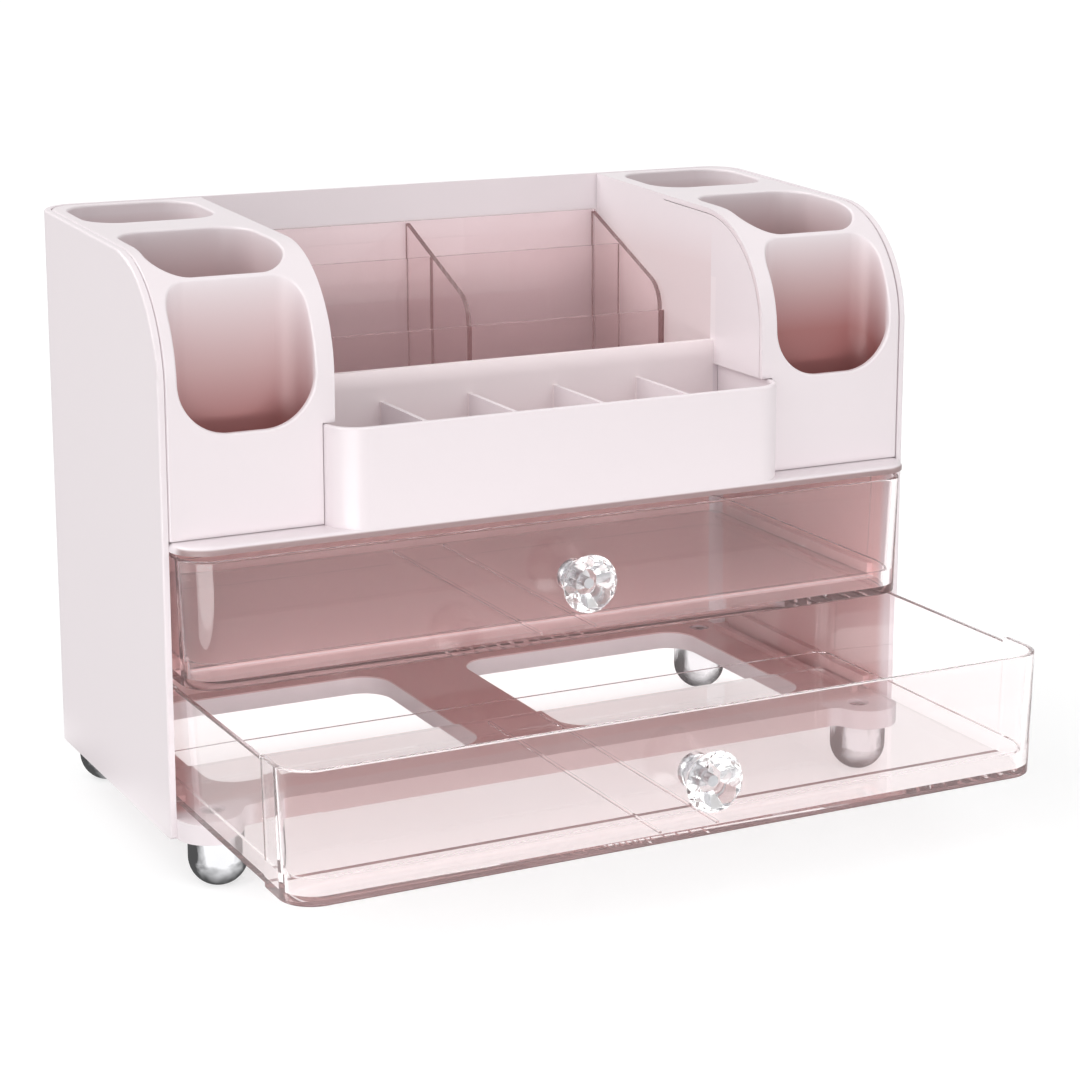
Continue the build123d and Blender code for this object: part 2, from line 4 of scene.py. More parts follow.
import bmesh
import bpy
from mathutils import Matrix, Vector


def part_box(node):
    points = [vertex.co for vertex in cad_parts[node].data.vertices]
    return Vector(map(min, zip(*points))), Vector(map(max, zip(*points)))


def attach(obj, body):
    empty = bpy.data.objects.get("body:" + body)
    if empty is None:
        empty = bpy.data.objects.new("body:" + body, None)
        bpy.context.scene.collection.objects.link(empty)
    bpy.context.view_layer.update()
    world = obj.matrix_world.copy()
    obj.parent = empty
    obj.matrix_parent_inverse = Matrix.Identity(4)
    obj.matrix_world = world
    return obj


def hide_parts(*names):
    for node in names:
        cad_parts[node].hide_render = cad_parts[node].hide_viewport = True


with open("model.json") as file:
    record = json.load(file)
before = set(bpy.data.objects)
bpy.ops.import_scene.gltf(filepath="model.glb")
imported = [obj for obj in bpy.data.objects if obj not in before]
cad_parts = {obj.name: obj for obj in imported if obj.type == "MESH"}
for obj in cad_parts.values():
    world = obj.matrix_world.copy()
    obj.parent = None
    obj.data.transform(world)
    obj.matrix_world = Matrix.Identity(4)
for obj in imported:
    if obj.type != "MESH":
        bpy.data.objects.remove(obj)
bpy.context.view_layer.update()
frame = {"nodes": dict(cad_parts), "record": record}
nodes = frame["nodes"]
mm = 0.001
near = {  # Places nearer to each other than this count as one
    "cut": 0.0001 * mm,
    "height": 0.001 * mm,
    "point": 0.01 * mm,
    "level": 0.1 * mm,
}
print("frame loaded:", len(nodes), "nodes")


# Small helpers for meshes

def bodyOf(nodeName):
    return next(b for b, names in frame["record"]["behaviour"]["bodies"].items() if nodeName in names)


def finishPiece(bm, name, material, standsFor, smoothAngle=35):
    mesh = bpy.data.meshes.new(name)
    bm.to_mesh(mesh)
    bm.free()
    mesh.shade_smooth()
    mesh.set_sharp_from_angle(angle=math.radians(smoothAngle))
    piece = bpy.data.objects.new(name, mesh)
    bpy.context.scene.collection.objects.link(piece)
    mesh.materials.append(material)
    piece.modifiers.new("flatWalls", "WEIGHTED_NORMAL").keep_sharp = True
    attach(piece, bodyOf(standsFor[0]))
    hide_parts(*standsFor)
    return piece


def middle(part):
    return sum((v.co for v in part.verts), Vector()) / len(part.verts)


def facesIn(made):
    return [part for part in made["geom"] if isinstance(part, bmesh.types.BMFace)]


def vertsIn(made):
    return [part for part in made["geom"] if isinstance(part, bmesh.types.BMVert)]


def openEdges(bm):
    return [e for e in bm.edges if e.is_boundary]


def sharpEdges(bm, angle):
    limit = math.radians(angle)
    return [e for e in bm.edges if len(e.link_faces) == 2 and e.calc_face_angle() > limit]


def bevelEdges(bm, edges, radius, segments):
    return bmesh.ops.bevel(bm, geom=edges, offset=radius, offset_type="OFFSET", segments=segments,
                           profile=0.5, affect="EDGES", material=-1, clamp_overlap=True)


def cutAcross(bm, where, normal, snap=near["cut"], clearOuter=False):
    geom = bm.verts[:] + bm.edges[:] + bm.faces[:]
    bmesh.ops.bisect_plane(bm, geom=geom, plane_co=where, plane_no=normal, clear_outer=clearOuter, dist=snap)


def cutFaces(bm, faces, where, normal):
    edges = dict.fromkeys(e for f in faces for e in f.edges)
    verts = dict.fromkeys(v for f in faces for v in f.verts)
    geom = faces + list(edges) + list(verts)
    cut = bmesh.ops.bisect_plane(bm, geom=geom, plane_co=where, plane_no=normal, dist=near["cut"])
    return facesIn(cut)


# Small helpers for materials

def newMaterial(name):
    material = bpy.data.materials.new(name)
    material.use_nodes = True
    material.node_tree.nodes.clear()
    return material


def addNode(tree, kind, values=(), **settings):
    node = tree.nodes.new(kind)
    for key, value in settings.items():
        setattr(node, key, value)
    for socket, value in values:
        node.inputs[socket].default_value = value
    return node


def newGroup(name, ins, outs):
    group = bpy.data.node_groups.new(name, "ShaderNodeTree")
    for label, kind, value in ins:
        socket = group.interface.new_socket(label, in_out="INPUT", socket_type=kind)
        socket.default_value = value
    for label, kind in outs:
        group.interface.new_socket(label, in_out="OUTPUT", socket_type=kind)
    return group


def placeGroup(tree, group, **values):
    node = tree.nodes.new("ShaderNodeGroup")
    node.node_tree = group
    for label, value in values.items():
        node.inputs[label.replace("_", " ")].default_value = value
    return node


def blendColours(tree, factor, first, second):
    # The colour sockets share their names with the number ones, so their places pick them
    blend = addNode(tree, "ShaderNodeMix", data_type="RGBA")
    tree.links.new(factor, blend.inputs["Factor"])
    tree.links.new(first, blend.inputs[6])
    tree.links.new(second, blend.inputs[7])
    return blend.outputs[2]


def finishMaterial(tree, shader):
    end = addNode(tree, "ShaderNodeOutputMaterial")
    tree.links.new(shader, end.inputs["Surface"])


def inMetres(values):
    return tuple(value * mm for value in values)


# One mottle, grain and roughness group, which every finish here places with its own values

surfaceLook = {
    "mottleDetail": 3.0,
    "mottleRoughness": 0.5,
    "grainDetail": 2.0,
    "grainRoughness": 0.6,
    "smearScale": 45.0,
    "smearDetail": 4.0,
    "smearDistortion": 0.6,
    "noiseRange": (0.35, 0.7),
}


def makeSurfaceGroup():
    ins = [
        ("Colour", "NodeSocketColor", (0.8, 0.8, 0.8, 1)),
        ("Mottle colour", "NodeSocketColor", (0.7, 0.7, 0.7, 1)),
        ("Mottle scale", "NodeSocketFloat", 20.0),
        ("Grain scale", "NodeSocketFloat", 2500.0),
        ("Low roughness", "NodeSocketFloat", 0.2),
        ("High roughness", "NodeSocketFloat", 0.3),
    ]
    outs = [("Colour", "NodeSocketColor"), ("Roughness", "NodeSocketFloat"), ("Height", "NodeSocketFloat")]
    group = newGroup("mouldedSurface", ins, outs)
    start = group.nodes.new("NodeGroupInput")
    end = group.nodes.new("NodeGroupOutput")
    place = addNode(group, "ShaderNodeTexCoord")
    mottle = addNode(group, "ShaderNodeTexNoise", [
        ("Detail", surfaceLook["mottleDetail"]), ("Roughness", surfaceLook["mottleRoughness"]),
    ])
    grain = addNode(group, "ShaderNodeTexNoise", [
        ("Detail", surfaceLook["grainDetail"]), ("Roughness", surfaceLook["grainRoughness"]),
    ])
    smear = addNode(group, "ShaderNodeTexNoise", [
        ("Scale", surfaceLook["smearScale"]), ("Detail", surfaceLook["smearDetail"]),
        ("Distortion", surfaceLook["smearDistortion"]),
    ])
    low, high = surfaceLook["noiseRange"]
    contrast = addNode(group, "ShaderNodeMapRange", [("From Min", low), ("From Max", high)])
    rough = addNode(group, "ShaderNodeMapRange", [("From Min", low), ("From Max", high)])
    link = group.links.new
    for noise in (mottle, grain, smear):
        link(place.outputs["Object"], noise.inputs["Vector"])
    link(start.outputs["Mottle scale"], mottle.inputs["Scale"])
    link(start.outputs["Grain scale"], grain.inputs["Scale"])
    link(mottle.outputs["Fac"], contrast.inputs["Value"])
    mixed = blendColours(group, contrast.outputs["Result"], start.outputs["Colour"],
                         start.outputs["Mottle colour"])
    link(smear.outputs["Fac"], rough.inputs["Value"])
    link(start.outputs["Low roughness"], rough.inputs["To Min"])
    link(start.outputs["High roughness"], rough.inputs["To Max"])
    link(mixed, end.inputs["Colour"])
    link(rough.outputs["Result"], end.inputs["Roughness"])
    link(grain.outputs["Fac"], end.inputs["Height"])
    return group


surfaceGroup = makeSurfaceGroup()


def placeSurface(tree, look):
    low, high = look["roughness"]
    return placeGroup(tree, surfaceGroup, Colour=look["colour"], Mottle_colour=look["mottle"],
                      Mottle_scale=look["mottleScale"], Grain_scale=look["grainScale"],
                      Low_roughness=low, High_roughness=high)


def wireColour(tree, surface, shader):
    tree.links.new(surface.outputs["Colour"], shader.inputs["Base Color"])
    tree.links.new(surface.outputs["Roughness"], shader.inputs["Roughness"])


def wireBump(tree, surface, shader, look):
    bump = addNode(tree, "ShaderNodeBump", [("Strength", look["bump"]), ("Distance", look["bumpDepth"])])
    tree.links.new(surface.outputs["Height"], bump.inputs["Height"])
    tree.links.new(bump.outputs["Normal"], shader.inputs["Normal"])


# How far a place lies below the rounded top of a tower: painted shade deepens the pink of its pockets
# towards their floors

towerTop = {  # inside is reckoned from the front, and shade from the rounded top
    "front": -8.5 * mm,
    "arcRadius": 45.0 * mm,
    "arcHeight": 182.0 * mm,
    "insideFrom": 1.0 * mm,
    "insideFull": 4.0 * mm,
    "shadeFrom": 0.5 * mm,
    "quickness": 0.7,  # a smaller power deepens it sooner
}


def makePocketPaintedShadeGroup():
    ins = [
        ("Colour", "NodeSocketColor", (0.8, 0.8, 0.8, 1)),
        ("Deep colour", "NodeSocketColor", (0.6, 0.3, 0.3, 1)),
        ("Front", "NodeSocketFloat", towerTop["front"]),
        ("Arc radius", "NodeSocketFloat", towerTop["arcRadius"]),
        ("Arc height", "NodeSocketFloat", towerTop["arcHeight"]),
        ("Depth", "NodeSocketFloat", 0.08),
    ]
    group = newGroup("paintedPocketShade", ins, [("Colour", "NodeSocketColor")])
    start = group.nodes.new("NodeGroupInput")
    end = group.nodes.new("NodeGroupOutput")
    place = addNode(group, "ShaderNodeTexCoord")
    split = addNode(group, "ShaderNodeSeparateXYZ")
    link = group.links.new

    def reckon(operation, *values):
        node = addNode(group, "ShaderNodeMath", operation=operation)
        for index, value in enumerate(values):
            if isinstance(value, (int, float)):
                node.inputs[index].default_value = value
            else:
                link(value, node.inputs[index])
        return node.outputs[0]

    link(place.outputs["Object"], split.inputs[0])
    behind = reckon("SUBTRACT", split.outputs["Y"], start.outputs["Front"])
    short = reckon("MAXIMUM", reckon("SUBTRACT", start.outputs["Arc radius"], behind), 0.0)
    radiusSquared = reckon("POWER", start.outputs["Arc radius"], 2.0)
    shortSquared = reckon("POWER", short, 2.0)
    rise = reckon("SQRT", reckon("MAXIMUM", reckon("SUBTRACT", radiusSquared, shortSquared), 0.0))
    below = reckon("SUBTRACT", reckon("ADD", start.outputs["Arc height"], rise), split.outputs["Z"])
    inside = addNode(group, "ShaderNodeMapRange", [
        ("From Min", towerTop["insideFrom"]), ("From Max", towerTop["insideFull"]),
    ], interpolation_type="SMOOTHSTEP")
    deep = addNode(group, "ShaderNodeMapRange", [("From Min", towerTop["shadeFrom"])])
    link(behind, inside.inputs["Value"])
    link(below, deep.inputs["Value"])
    link(start.outputs["Depth"], deep.inputs["From Max"])
    soon = reckon("POWER", deep.outputs["Result"], towerTop["quickness"])
    factor = reckon("MULTIPLY", inside.outputs["Result"], soon)
    deepened = blendColours(group, factor, start.outputs["Colour"], start.outputs["Deep colour"])
    link(deepened, end.inputs["Colour"])
    return group


pocketPaintedShadeGroup = makePocketPaintedShadeGroup()


# How deep a place lies in a boxed room, such as a drawer's slot, the bay or the bin: painted shade deepens
# its pink there

def makeRoomPaintedLightAndShadeGroup():
    ins = [
        ("Colour", "NodeSocketColor", (0.8, 0.8, 0.8, 1)),
        ("Deep colour", "NodeSocketColor", (0.6, 0.3, 0.3, 1)),
        ("Low corner", "NodeSocketVector", (0, 0, 0)),
        ("High corner", "NodeSocketVector", (1, 1, 1)),
        ("Low fade", "NodeSocketVector", (1, 1, 1)),
        ("High fade", "NodeSocketVector", (1, 1, 1)),
    ]
    group = newGroup("paintedRoomLightAndShade", ins, [("Colour", "NodeSocketColor")])
    start = group.nodes.new("NodeGroupInput")
    end = group.nodes.new("NodeGroupOutput")
    place = addNode(group, "ShaderNodeTexCoord")
    link = group.links.new
    least = None
    for first, second, fade in ((place.outputs["Object"], start.outputs["Low corner"], "Low fade"),
                                (start.outputs["High corner"], place.outputs["Object"], "High fade")):
        gap = addNode(group, "ShaderNodeVectorMath", operation="SUBTRACT")
        link(first, gap.inputs[0])
        link(second, gap.inputs[1])
        share = addNode(group, "ShaderNodeVectorMath", operation="DIVIDE")
        link(gap.outputs[0], share.inputs[0])
        link(start.outputs[fade], share.inputs[1])
        parts = addNode(group, "ShaderNodeSeparateXYZ")
        link(share.outputs[0], parts.inputs[0])
        for axis in "XYZ":
            if least is None:
                least = parts.outputs[axis]
                continue
            smaller = addNode(group, "ShaderNodeMath", operation="MINIMUM")
            link(least, smaller.inputs[0])
            link(parts.outputs[axis], smaller.inputs[1])
            least = smaller.outputs[0]
    soft = addNode(group, "ShaderNodeMapRange", interpolation_type="SMOOTHSTEP")
    link(least, soft.inputs["Value"])
    deepened = blendColours(group, soft.outputs["Result"], start.outputs["Colour"],
                            start.outputs["Deep colour"])
    link(deepened, end.inputs["Colour"])
    return group


roomPaintedLightAndShadeGroup = makeRoomPaintedLightAndShadeGroup()


# Pink mouldings. In each room painted shade deepens the pink, save in the step panel's, where painted light
# lightens it. A room's corners and fades are in millimetres, and a later room lies over an earlier one

pinkPlastic = {
    "colour": (0.86, 0.785, 0.81, 1),
    "mottle": (0.858, 0.782, 0.807, 1),
    "mottleScale": 12.0,
    "grainScale": 1400.0,
    "roughness": (0.28, 0.32),
    "bump": 0.05,
    "bumpDepth": 0.05 * mm,
    "ior": 1.46,
    "coat": 0.12,
    "coatRoughness": 0.2,
    # Painted shade for each tower's pockets, deepest at their floors; the right tower's is darker and sets
    # in sooner
    "pockets": {
        "left_tower": {"colour": (0.46, 0.20, 0.195, 1), "depth": 52.0 * mm},
        "right_tower": {"colour": (0.41, 0.17, 0.165, 1), "depth": 38.0 * mm},
    },
    "rooms": [
        # Painted shade inside the drawers' slots, deeper in the lower one
        {"name": "upper slot", "colour": (0.95, 0.645, 0.635, 1),
         "low": (-153.0, -6.0, 74.5), "high": (153.0, 121.5, 124.7),
         "lowFade": (0.3, 8.0, 0.5), "highFade": (0.3, 0.5, 0.5)},
        {"name": "upper slot's end", "colour": (0.95, 0.645, 0.635, 1),
         "low": (-146.0, 120.5, 74.5), "high": (146.0, 128.5, 124.7),
         "lowFade": (0.5, 0.5, 0.5), "highFade": (0.5, 0.3, 0.5)},
        {"name": "lower slot", "colour": (0.68, 0.45, 0.445, 1),
         "low": (-153.0, -6.0, 25.5), "high": (153.0, 121.5, 74.5),
         "lowFade": (0.3, 8.0, 0.5), "highFade": (0.3, 0.5, 0.5)},
        {"name": "lower slot's end", "colour": (0.68, 0.45, 0.445, 1),
         "low": (-146.0, 120.5, 25.5), "high": (146.0, 128.5, 74.5),
         "lowFade": (0.5, 0.5, 0.5), "highFade": (0.5, 0.3, 0.5)},
        # Painted shade in the bay, fading out towards its left side and its top
        {"name": "bay", "colour": (0.76, 0.55, 0.54, 1),
         "low": (-89.2, 31.0, 100.0), "high": (89.2, 127.9, 224.0),
         "lowFade": (130.0, 0.5, 1.0), "highFade": (0.5, 0.5, 50.0)},
        # Painted light: this room lightens the step panel's pink instead of deepening it
        {"name": "step panel", "colour": (0.97, 0.88, 0.89, 1),
         "low": (-89.2, 27.2, 142.0), "high": (89.2, 31.2, 200.0),
         "lowFade": (0.5, 0.5, 6.0), "highFade": (0.5, 0.5, 0.5)},
        # Painted shade on the base panel's front
        {"name": "base panel's front", "colour": (0.68, 0.53, 0.53, 1),
         "low": (-124.0, -11.0, 15.0), "high": (124.0, 2.0, 27.2),
         "lowFade": (4.0, 0.5, 0.5), "highFade": (4.0, 4.0, 0.5)},
        # Painted shade inside the bin, fading out towards its rim
        {"name": "bin", "colour": (0.82, 0.68, 0.69, 1),
         "low": (-88.5, -16.5, 100.0), "high": (88.5, 28.8, 158.0),
         "lowFade": (0.5, 0.5, 1.0), "highFade": (0.5, 0.5, 30.0)},
        # Painted shadow: a dark mauve strip along the ledge's front edge
        {"name": "ledge's front edge", "colour": (0.36, 0.25, 0.25, 1),
         "low": (-160.0, -23.5, 123.5), "high": (160.0, -12.0, 127.2),
         "lowFade": (0.5, 0.5, 0.5), "highFade": (0.5, 4.0, 0.8)},
    ],
}


# Paints the pocket shade into a tower's pink
def paintPocketShade(tree, colour, pockets):
    shade = placeGroup(tree, pocketPaintedShadeGroup, Deep_colour=pockets["colour"], Depth=pockets["depth"])
    tree.links.new(colour, shade.inputs["Colour"])
    return shade.outputs["Colour"]


# Paints the rooms' shade and the step panel's light into the pink, one room over the other
def paintRoomLightAndShade(tree, colour):
    for room in pinkPlastic["rooms"]:
        shade = placeGroup(tree, roomPaintedLightAndShadeGroup, Deep_colour=room["colour"],
                           Low_corner=inMetres(room["low"]), High_corner=inMetres(room["high"]),
                           Low_fade=inMetres(room["lowFade"]), High_fade=inMetres(room["highFade"]))
        shade.label = room["name"]
        tree.links.new(colour, shade.inputs["Colour"])
        colour = shade.outputs["Colour"]
    return colour


def makePinkPlastic(name, pockets=None):
    material = newMaterial(name)
    tree = material.node_tree
    surface = placeSurface(tree, pinkPlastic)
    shader = addNode(tree, "ShaderNodeBsdfPrincipled", [
        ("Coat Weight", pinkPlastic["coat"]), ("Coat Roughness", pinkPlastic["coatRoughness"]),
        ("IOR", pinkPlastic["ior"]),
    ])
    plain = surface.outputs["Colour"]
    shaded = paintPocketShade(tree, plain, pockets) if pockets else paintRoomLightAndShade(tree, plain)
    tree.links.new(shaded, shader.inputs["Base Color"])
    tree.links.new(surface.outputs["Roughness"], shader.inputs["Roughness"])
    wireBump(tree, surface, shader, pinkPlastic)
    finishMaterial(tree, shader.outputs["BSDF"])
    return material


# Clear mouldings and sheets. Every surface of theirs glows faintly, a painted light that builds up where
# rays cross many walls, so that their edges show dark mauve

clearPlastics = {
    "clearRosePlastic": {
        "colour": (0.988, 0.953, 0.955, 1),
        "mottle": (0.986, 0.95, 0.952, 1),
        "mottleScale": 15.0,
        "grainScale": 300.0,
        "roughness": (0.0, 0.008),
        "ior": 1.45,
        "clear": 0.99,
        "shadow": (0.99, 0.978, 0.98, 1),
        "paintedGlow": (0.003, 0.0012, 0.0012, 1),
    },
    "clearRoseSheet": {
        "colour": (0.905, 0.85, 0.853, 1),
        "mottle": (0.895, 0.835, 0.838, 1),
        "mottleScale": 15.0,
        "grainScale": 300.0,
        "roughness": (0.0, 0.008),
        "ior": 1.45,
        "clear": 0.99,
        "shadow": (0.97, 0.93, 0.93, 1),
        "paintedGlow": (0.0105, 0.0065, 0.0066, 1),
    },
    "crystalPlastic": {
        "colour": (0.995, 0.995, 0.995, 1),
        "mottle": (0.99, 0.99, 0.99, 1),
        "mottleScale": 15.0,
        "grainScale": 300.0,
        "roughness": (0.0, 0.004),
        "ior": 1.55,
        "clear": 1.0,
        "shadow": (0.97, 0.97, 0.97, 1),
        "paintedGlow": (0, 0, 0, 1),
    },
}


def makeClearPlastic(name):
    look = clearPlastics[name]
    material = newMaterial(name)
    tree = material.node_tree
    surface = placeSurface(tree, look)
    # Painted light: the faint glow on every surface
    shader = addNode(tree, "ShaderNodeBsdfPrincipled", [
        ("Transmission Weight", look["clear"]), ("IOR", look["ior"]), ("Emission Color", look["paintedGlow"]),
        ("Emission Strength", 1.0),
    ])
    wireColour(tree, surface, shader)
    # Light passes straight through on its way to what the plastic shades
    passing = addNode(tree, "ShaderNodeBsdfTransparent", [("Color", look["shadow"])])
    path = addNode(tree, "ShaderNodeLightPath")
    mix = addNode(tree, "ShaderNodeMixShader")
    tree.links.new(path.outputs["Is Shadow Ray"], mix.inputs[0])
    tree.links.new(shader.outputs["BSDF"], mix.inputs[1])
    tree.links.new(passing.outputs["BSDF"], mix.inputs[2])
    finishMaterial(tree, mix.outputs["Shader"])
    return material


metals = {
    "chrome": {
        "colour": (0.82, 0.82, 0.84, 1),
        "mottle": (0.78, 0.78, 0.80, 1),
        "mottleScale": 60.0,
        "grainScale": 1800.0,
        "roughness": (0.03, 0.07),
        "bump": 0.03,
        "bumpDepth": 0.02 * mm,
    },
    "steel": {
        "colour": (0.60, 0.60, 0.62, 1),
        "mottle": (0.52, 0.52, 0.54, 1),
        "mottleScale": 60.0,
        "grainScale": 1800.0,
        "roughness": (0.22, 0.36),
        "bump": 0.03,
        "bumpDepth": 0.02 * mm,
    },
}


def makeMetal(name):
    look = metals[name]
    material = newMaterial(name)
    tree = material.node_tree
    surface = placeSurface(tree, look)
    shader = addNode(tree, "ShaderNodeBsdfPrincipled", [("Metallic", 1.0)])
    wireColour(tree, surface, shader)
    wireBump(tree, surface, shader, look)
    finishMaterial(tree, shader.outputs["BSDF"])
    return material


# The moulded foot edges of the drawers, painted a dark, nearly opaque mauve: painted shade for the dark
# lines that clear edges show

darkEdgePaintedShade = {
    "colour": (0.26, 0.15, 0.15, 1),
    "mottle": (0.18, 0.10, 0.10, 1),
    "mottleScale": 40.0,
    "grainScale": 300.0,
    "roughness": (0.1, 0.16),
    "ior": 1.45,
    "clear": 0.12,
}


def makeDarkEdgePaintedShade():
    material = newMaterial("clearRosePaintedShadeEdge")
    tree = material.node_tree
    surface = placeSurface(tree, darkEdgePaintedShade)
    shader = addNode(tree, "ShaderNodeBsdfPrincipled", [
        ("Transmission Weight", darkEdgePaintedShade["clear"]), ("IOR", darkEdgePaintedShade["ior"]),
    ])
    wireColour(tree, surface, shader)
    finishMaterial(tree, shader.outputs["BSDF"])
    return material


paintedShadeEdgeMaterial = makeDarkEdgePaintedShade()
materials = {
    "pink_plastic": makePinkPlastic("pinkPlastic"),
    "clear_rose_plastic": makeClearPlastic("clearRosePlastic"),
    "crystal_plastic": makeClearPlastic("crystalPlastic"),
    "chrome": makeMetal("chrome"),
    "steel": makeMetal("steel"),
}
for subpart in frame["record"]["subparts"]:
    node = nodes[subpart["node"]]
    node.data.materials.clear()
    node.data.materials.append(materials[subpart["material_slot"]])
# Each tower gets its own pink, which carries its pockets' painted shade
for nodeName, pockets in pinkPlastic["pockets"].items():
    side = nodeName.split("_")[0].capitalize()
    nodes[nodeName].data.materials[0] = makePinkPlastic("pink" + side + "Tower", pockets)
sheetPlastic = makeClearPlastic("clearRoseSheet")
for nodeName in frame["record"]["behaviour"]["bodies"]["clear_tray"]:
    nodes[nodeName].data.materials[0] = sheetPlastic
print("materials made")


# Clear drawers, each one moulding: outer tub, deeper front section, inner ledge and two floor ribs

drawer = {  # angles in degrees
    "wall": 2.0 * mm,
    "floor": 2.0 * mm,
    "draft": 1.5,
    "frontLength": 25.0 * mm,
    "frontStep": 0.6 * mm,
    "frontDrop": 0.8 * mm,
    "frontRise": 1.7 * mm,
    "frontCorner": 12.5 * mm,
    "rearCorner": 8.0 * mm,
    "cornerSteps": 14,
    "ledgeHeight": 8.5 * mm,
    "ledgeWidth": 1.2 * mm,
    "ribX": 11.5 * mm,
    "ribWidth": 1.0 * mm,
    "ribHeight": 0.8 * mm,
    "ribFront": 4.0 * mm,
    "ribBack": 8.0 * mm,
    "footRound": 1.1 * mm,
    "footSteps": 4,
    "rimRound": 0.6 * mm,
    "rimSteps": 3,
    "edgeAngle": 50,
    "sliver": 0.002 * mm,
}


def riseOf(edge):
    return abs(edge.verts[0].co.z - edge.verts[1].co.z)


def startBlock(bm, half, low, high, bottom, top):
    # A block with its four uprights rounded, the front ones further than the rear ones
    midY = (low.y + high.y) / 2
    made = bmesh.ops.create_cube(bm, size=1)
    bmesh.ops.scale(bm, verts=made["verts"], vec=(2 * half, high.y - low.y, top - bottom))
    bmesh.ops.translate(bm, verts=made["verts"], vec=(0, midY, (top + bottom) / 2))
    for end, radius in ((-1, drawer["frontCorner"]), (1, drawer["rearCorner"])):
        uprights = [e for e in bm.edges if riseOf(e) > (top - bottom) / 2 and (middle(e).y - midY) * end > 0]
        bevelEdges(bm, uprights, radius, drawer["cornerSteps"])


def sinkFaces(bm, faces, thickness, toHeight):
    bmesh.ops.inset_region(bm, faces=faces, thickness=thickness, use_even_offset=True, use_boundary=True)
    sunk = bmesh.ops.extrude_face_region(bm, geom=faces)
    bmesh.ops.delete(bm, geom=faces, context="FACES")
    for v in vertsIn(sunk):
        v.co.z = toHeight
    return facesIn(sunk)


def raiseRibs(bm, floor, frontEnd, rearEnd):
    for x in (-drawer["ribX"], drawer["ribX"]):
        for side in (-0.5, 0.5):
            floor = cutFaces(bm, floor, (x + side * drawer["ribWidth"], 0, 0), (1, 0, 0))
    for y in (frontEnd, rearEnd):
        floor = cutFaces(bm, floor, (0, y, 0), (0, 1, 0))
    ribs = [f for f in floor if abs(abs(middle(f).x) - drawer["ribX"]) < drawer["ribWidth"]
            and frontEnd < middle(f).y < rearEnd]
    raised = bmesh.ops.extrude_face_region(bm, geom=ribs)
    bmesh.ops.delete(bm, geom=ribs, context="FACES")
    bmesh.ops.translate(bm, verts=vertsIn(raised), vec=(0, 0, drawer["ribHeight"]))


def leanWalls(bm, half, lean, step, bottom, top):
    # The walls lean outwards, and the front section stands a step prouder, deeper and higher
    for v in bm.verts:
        side = 1 if v.co.x > 0 else -1
        atFoot = v.co.z < bottom + near["height"]
        atRim = v.co.z > top - near["height"]
        atWall = abs(v.co.x) > half - drawer["frontCorner"] - near["point"]
        if atWall:
            v.co.x += side * (v.co.z - bottom) * lean
        if v.co.y < step + drawer["frontStep"] / 2:
            if atFoot:
                v.co.z -= drawer["frontDrop"]
            elif atRim:
                v.co.z += drawer["frontRise"]
            if atWall and (atFoot or atRim):
                v.co.x += side * drawer["frontStep"]


def makeDrawer(nodeName, pieceName):
    low, high = (Vector(c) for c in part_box(nodeName))
    bottom = low.z + drawer["frontDrop"]
    top = high.z - drawer["frontRise"]
    lean = math.tan(math.radians(drawer["draft"]))
    half = high.x - drawer["frontStep"] - (high.z - low.z) * lean
    step = low.y + drawer["frontLength"] - drawer["frontStep"]
    bm = bmesh.new()
    startBlock(bm, half, low, high, bottom, top)
    # The step slopes between the first two cuts, and the third one ends its rounding before the shelf
    for stepsBack in range(3):
        cutAcross(bm, (0, step + stepsBack * drawer["frontStep"], 0), (0, 1, 0))
    lid = [f for f in bm.faces if f.normal.z > 0.9]
    ledge = sinkFaces(bm, lid, drawer["wall"], bottom + drawer["ledgeHeight"])
    floor = sinkFaces(bm, ledge, drawer["ledgeWidth"], bottom + drawer["floor"])
    raiseRibs(bm, floor, low.y + drawer["ribFront"], high.y - drawer["ribBack"])
    leanWalls(bm, half, lean, step, bottom, top)
    bmesh.ops.recalc_face_normals(bm, faces=bm.faces[:])
    footEdges = [e for e in sharpEdges(bm, drawer["edgeAngle"]) if middle(e).z < bottom + near["point"]]
    # Painted shade: the rounded foot edges take the dark edge finish
    for face in bevelEdges(bm, footEdges, drawer["footRound"], drawer["footSteps"])["faces"]:
        face.material_index = 1
    rimEdges = [e for e in sharpEdges(bm, drawer["edgeAngle"])
                if middle(e).z > top - near["point"] and riseOf(e) < near["level"]]
    bevelEdges(bm, rimEdges, drawer["rimRound"], drawer["rimSteps"])
    bmesh.ops.dissolve_degenerate(bm, dist=drawer["sliver"], edges=bm.edges[:])
    piece = finishPiece(bm, pieceName, materials["clear_rose_plastic"], [nodeName])
    piece.data.materials.append(paintedShadeEdgeMaterial)
    return piece


for nodeName, pieceName in (("upper_drawer", "upperDrawerTub"), ("lower_drawer", "lowerDrawerTub")):
    piece = makeDrawer(nodeName, pieceName)
print("drawers made")


# Knobs: a brilliant cut into a clear disc, on a round collar

knob = {  # angles in degrees
    "facets": 8,
    "crownHeight": 3.5 * mm,
    "tableRadius": 8.0 * mm,
    "girdle": 0.9 * mm,
    "seatRadius": 4.6 * mm,
    "crownBreak": 11,
    "pavilionBreak": 9,
    "breakReach": 0.985,
    "facetAngle": 6,
    "edgeRound": 0.09 * mm,
    "crystalSmooth": 4.5,  # so small that the facets stay flat
    "collarRound": 0.8 * mm,
    "collarSteps": 5,
    "collarAngle": 60,
    "collarSmooth": 30,
    "seatGap": 0.04 * mm,
    "around": 96,
}


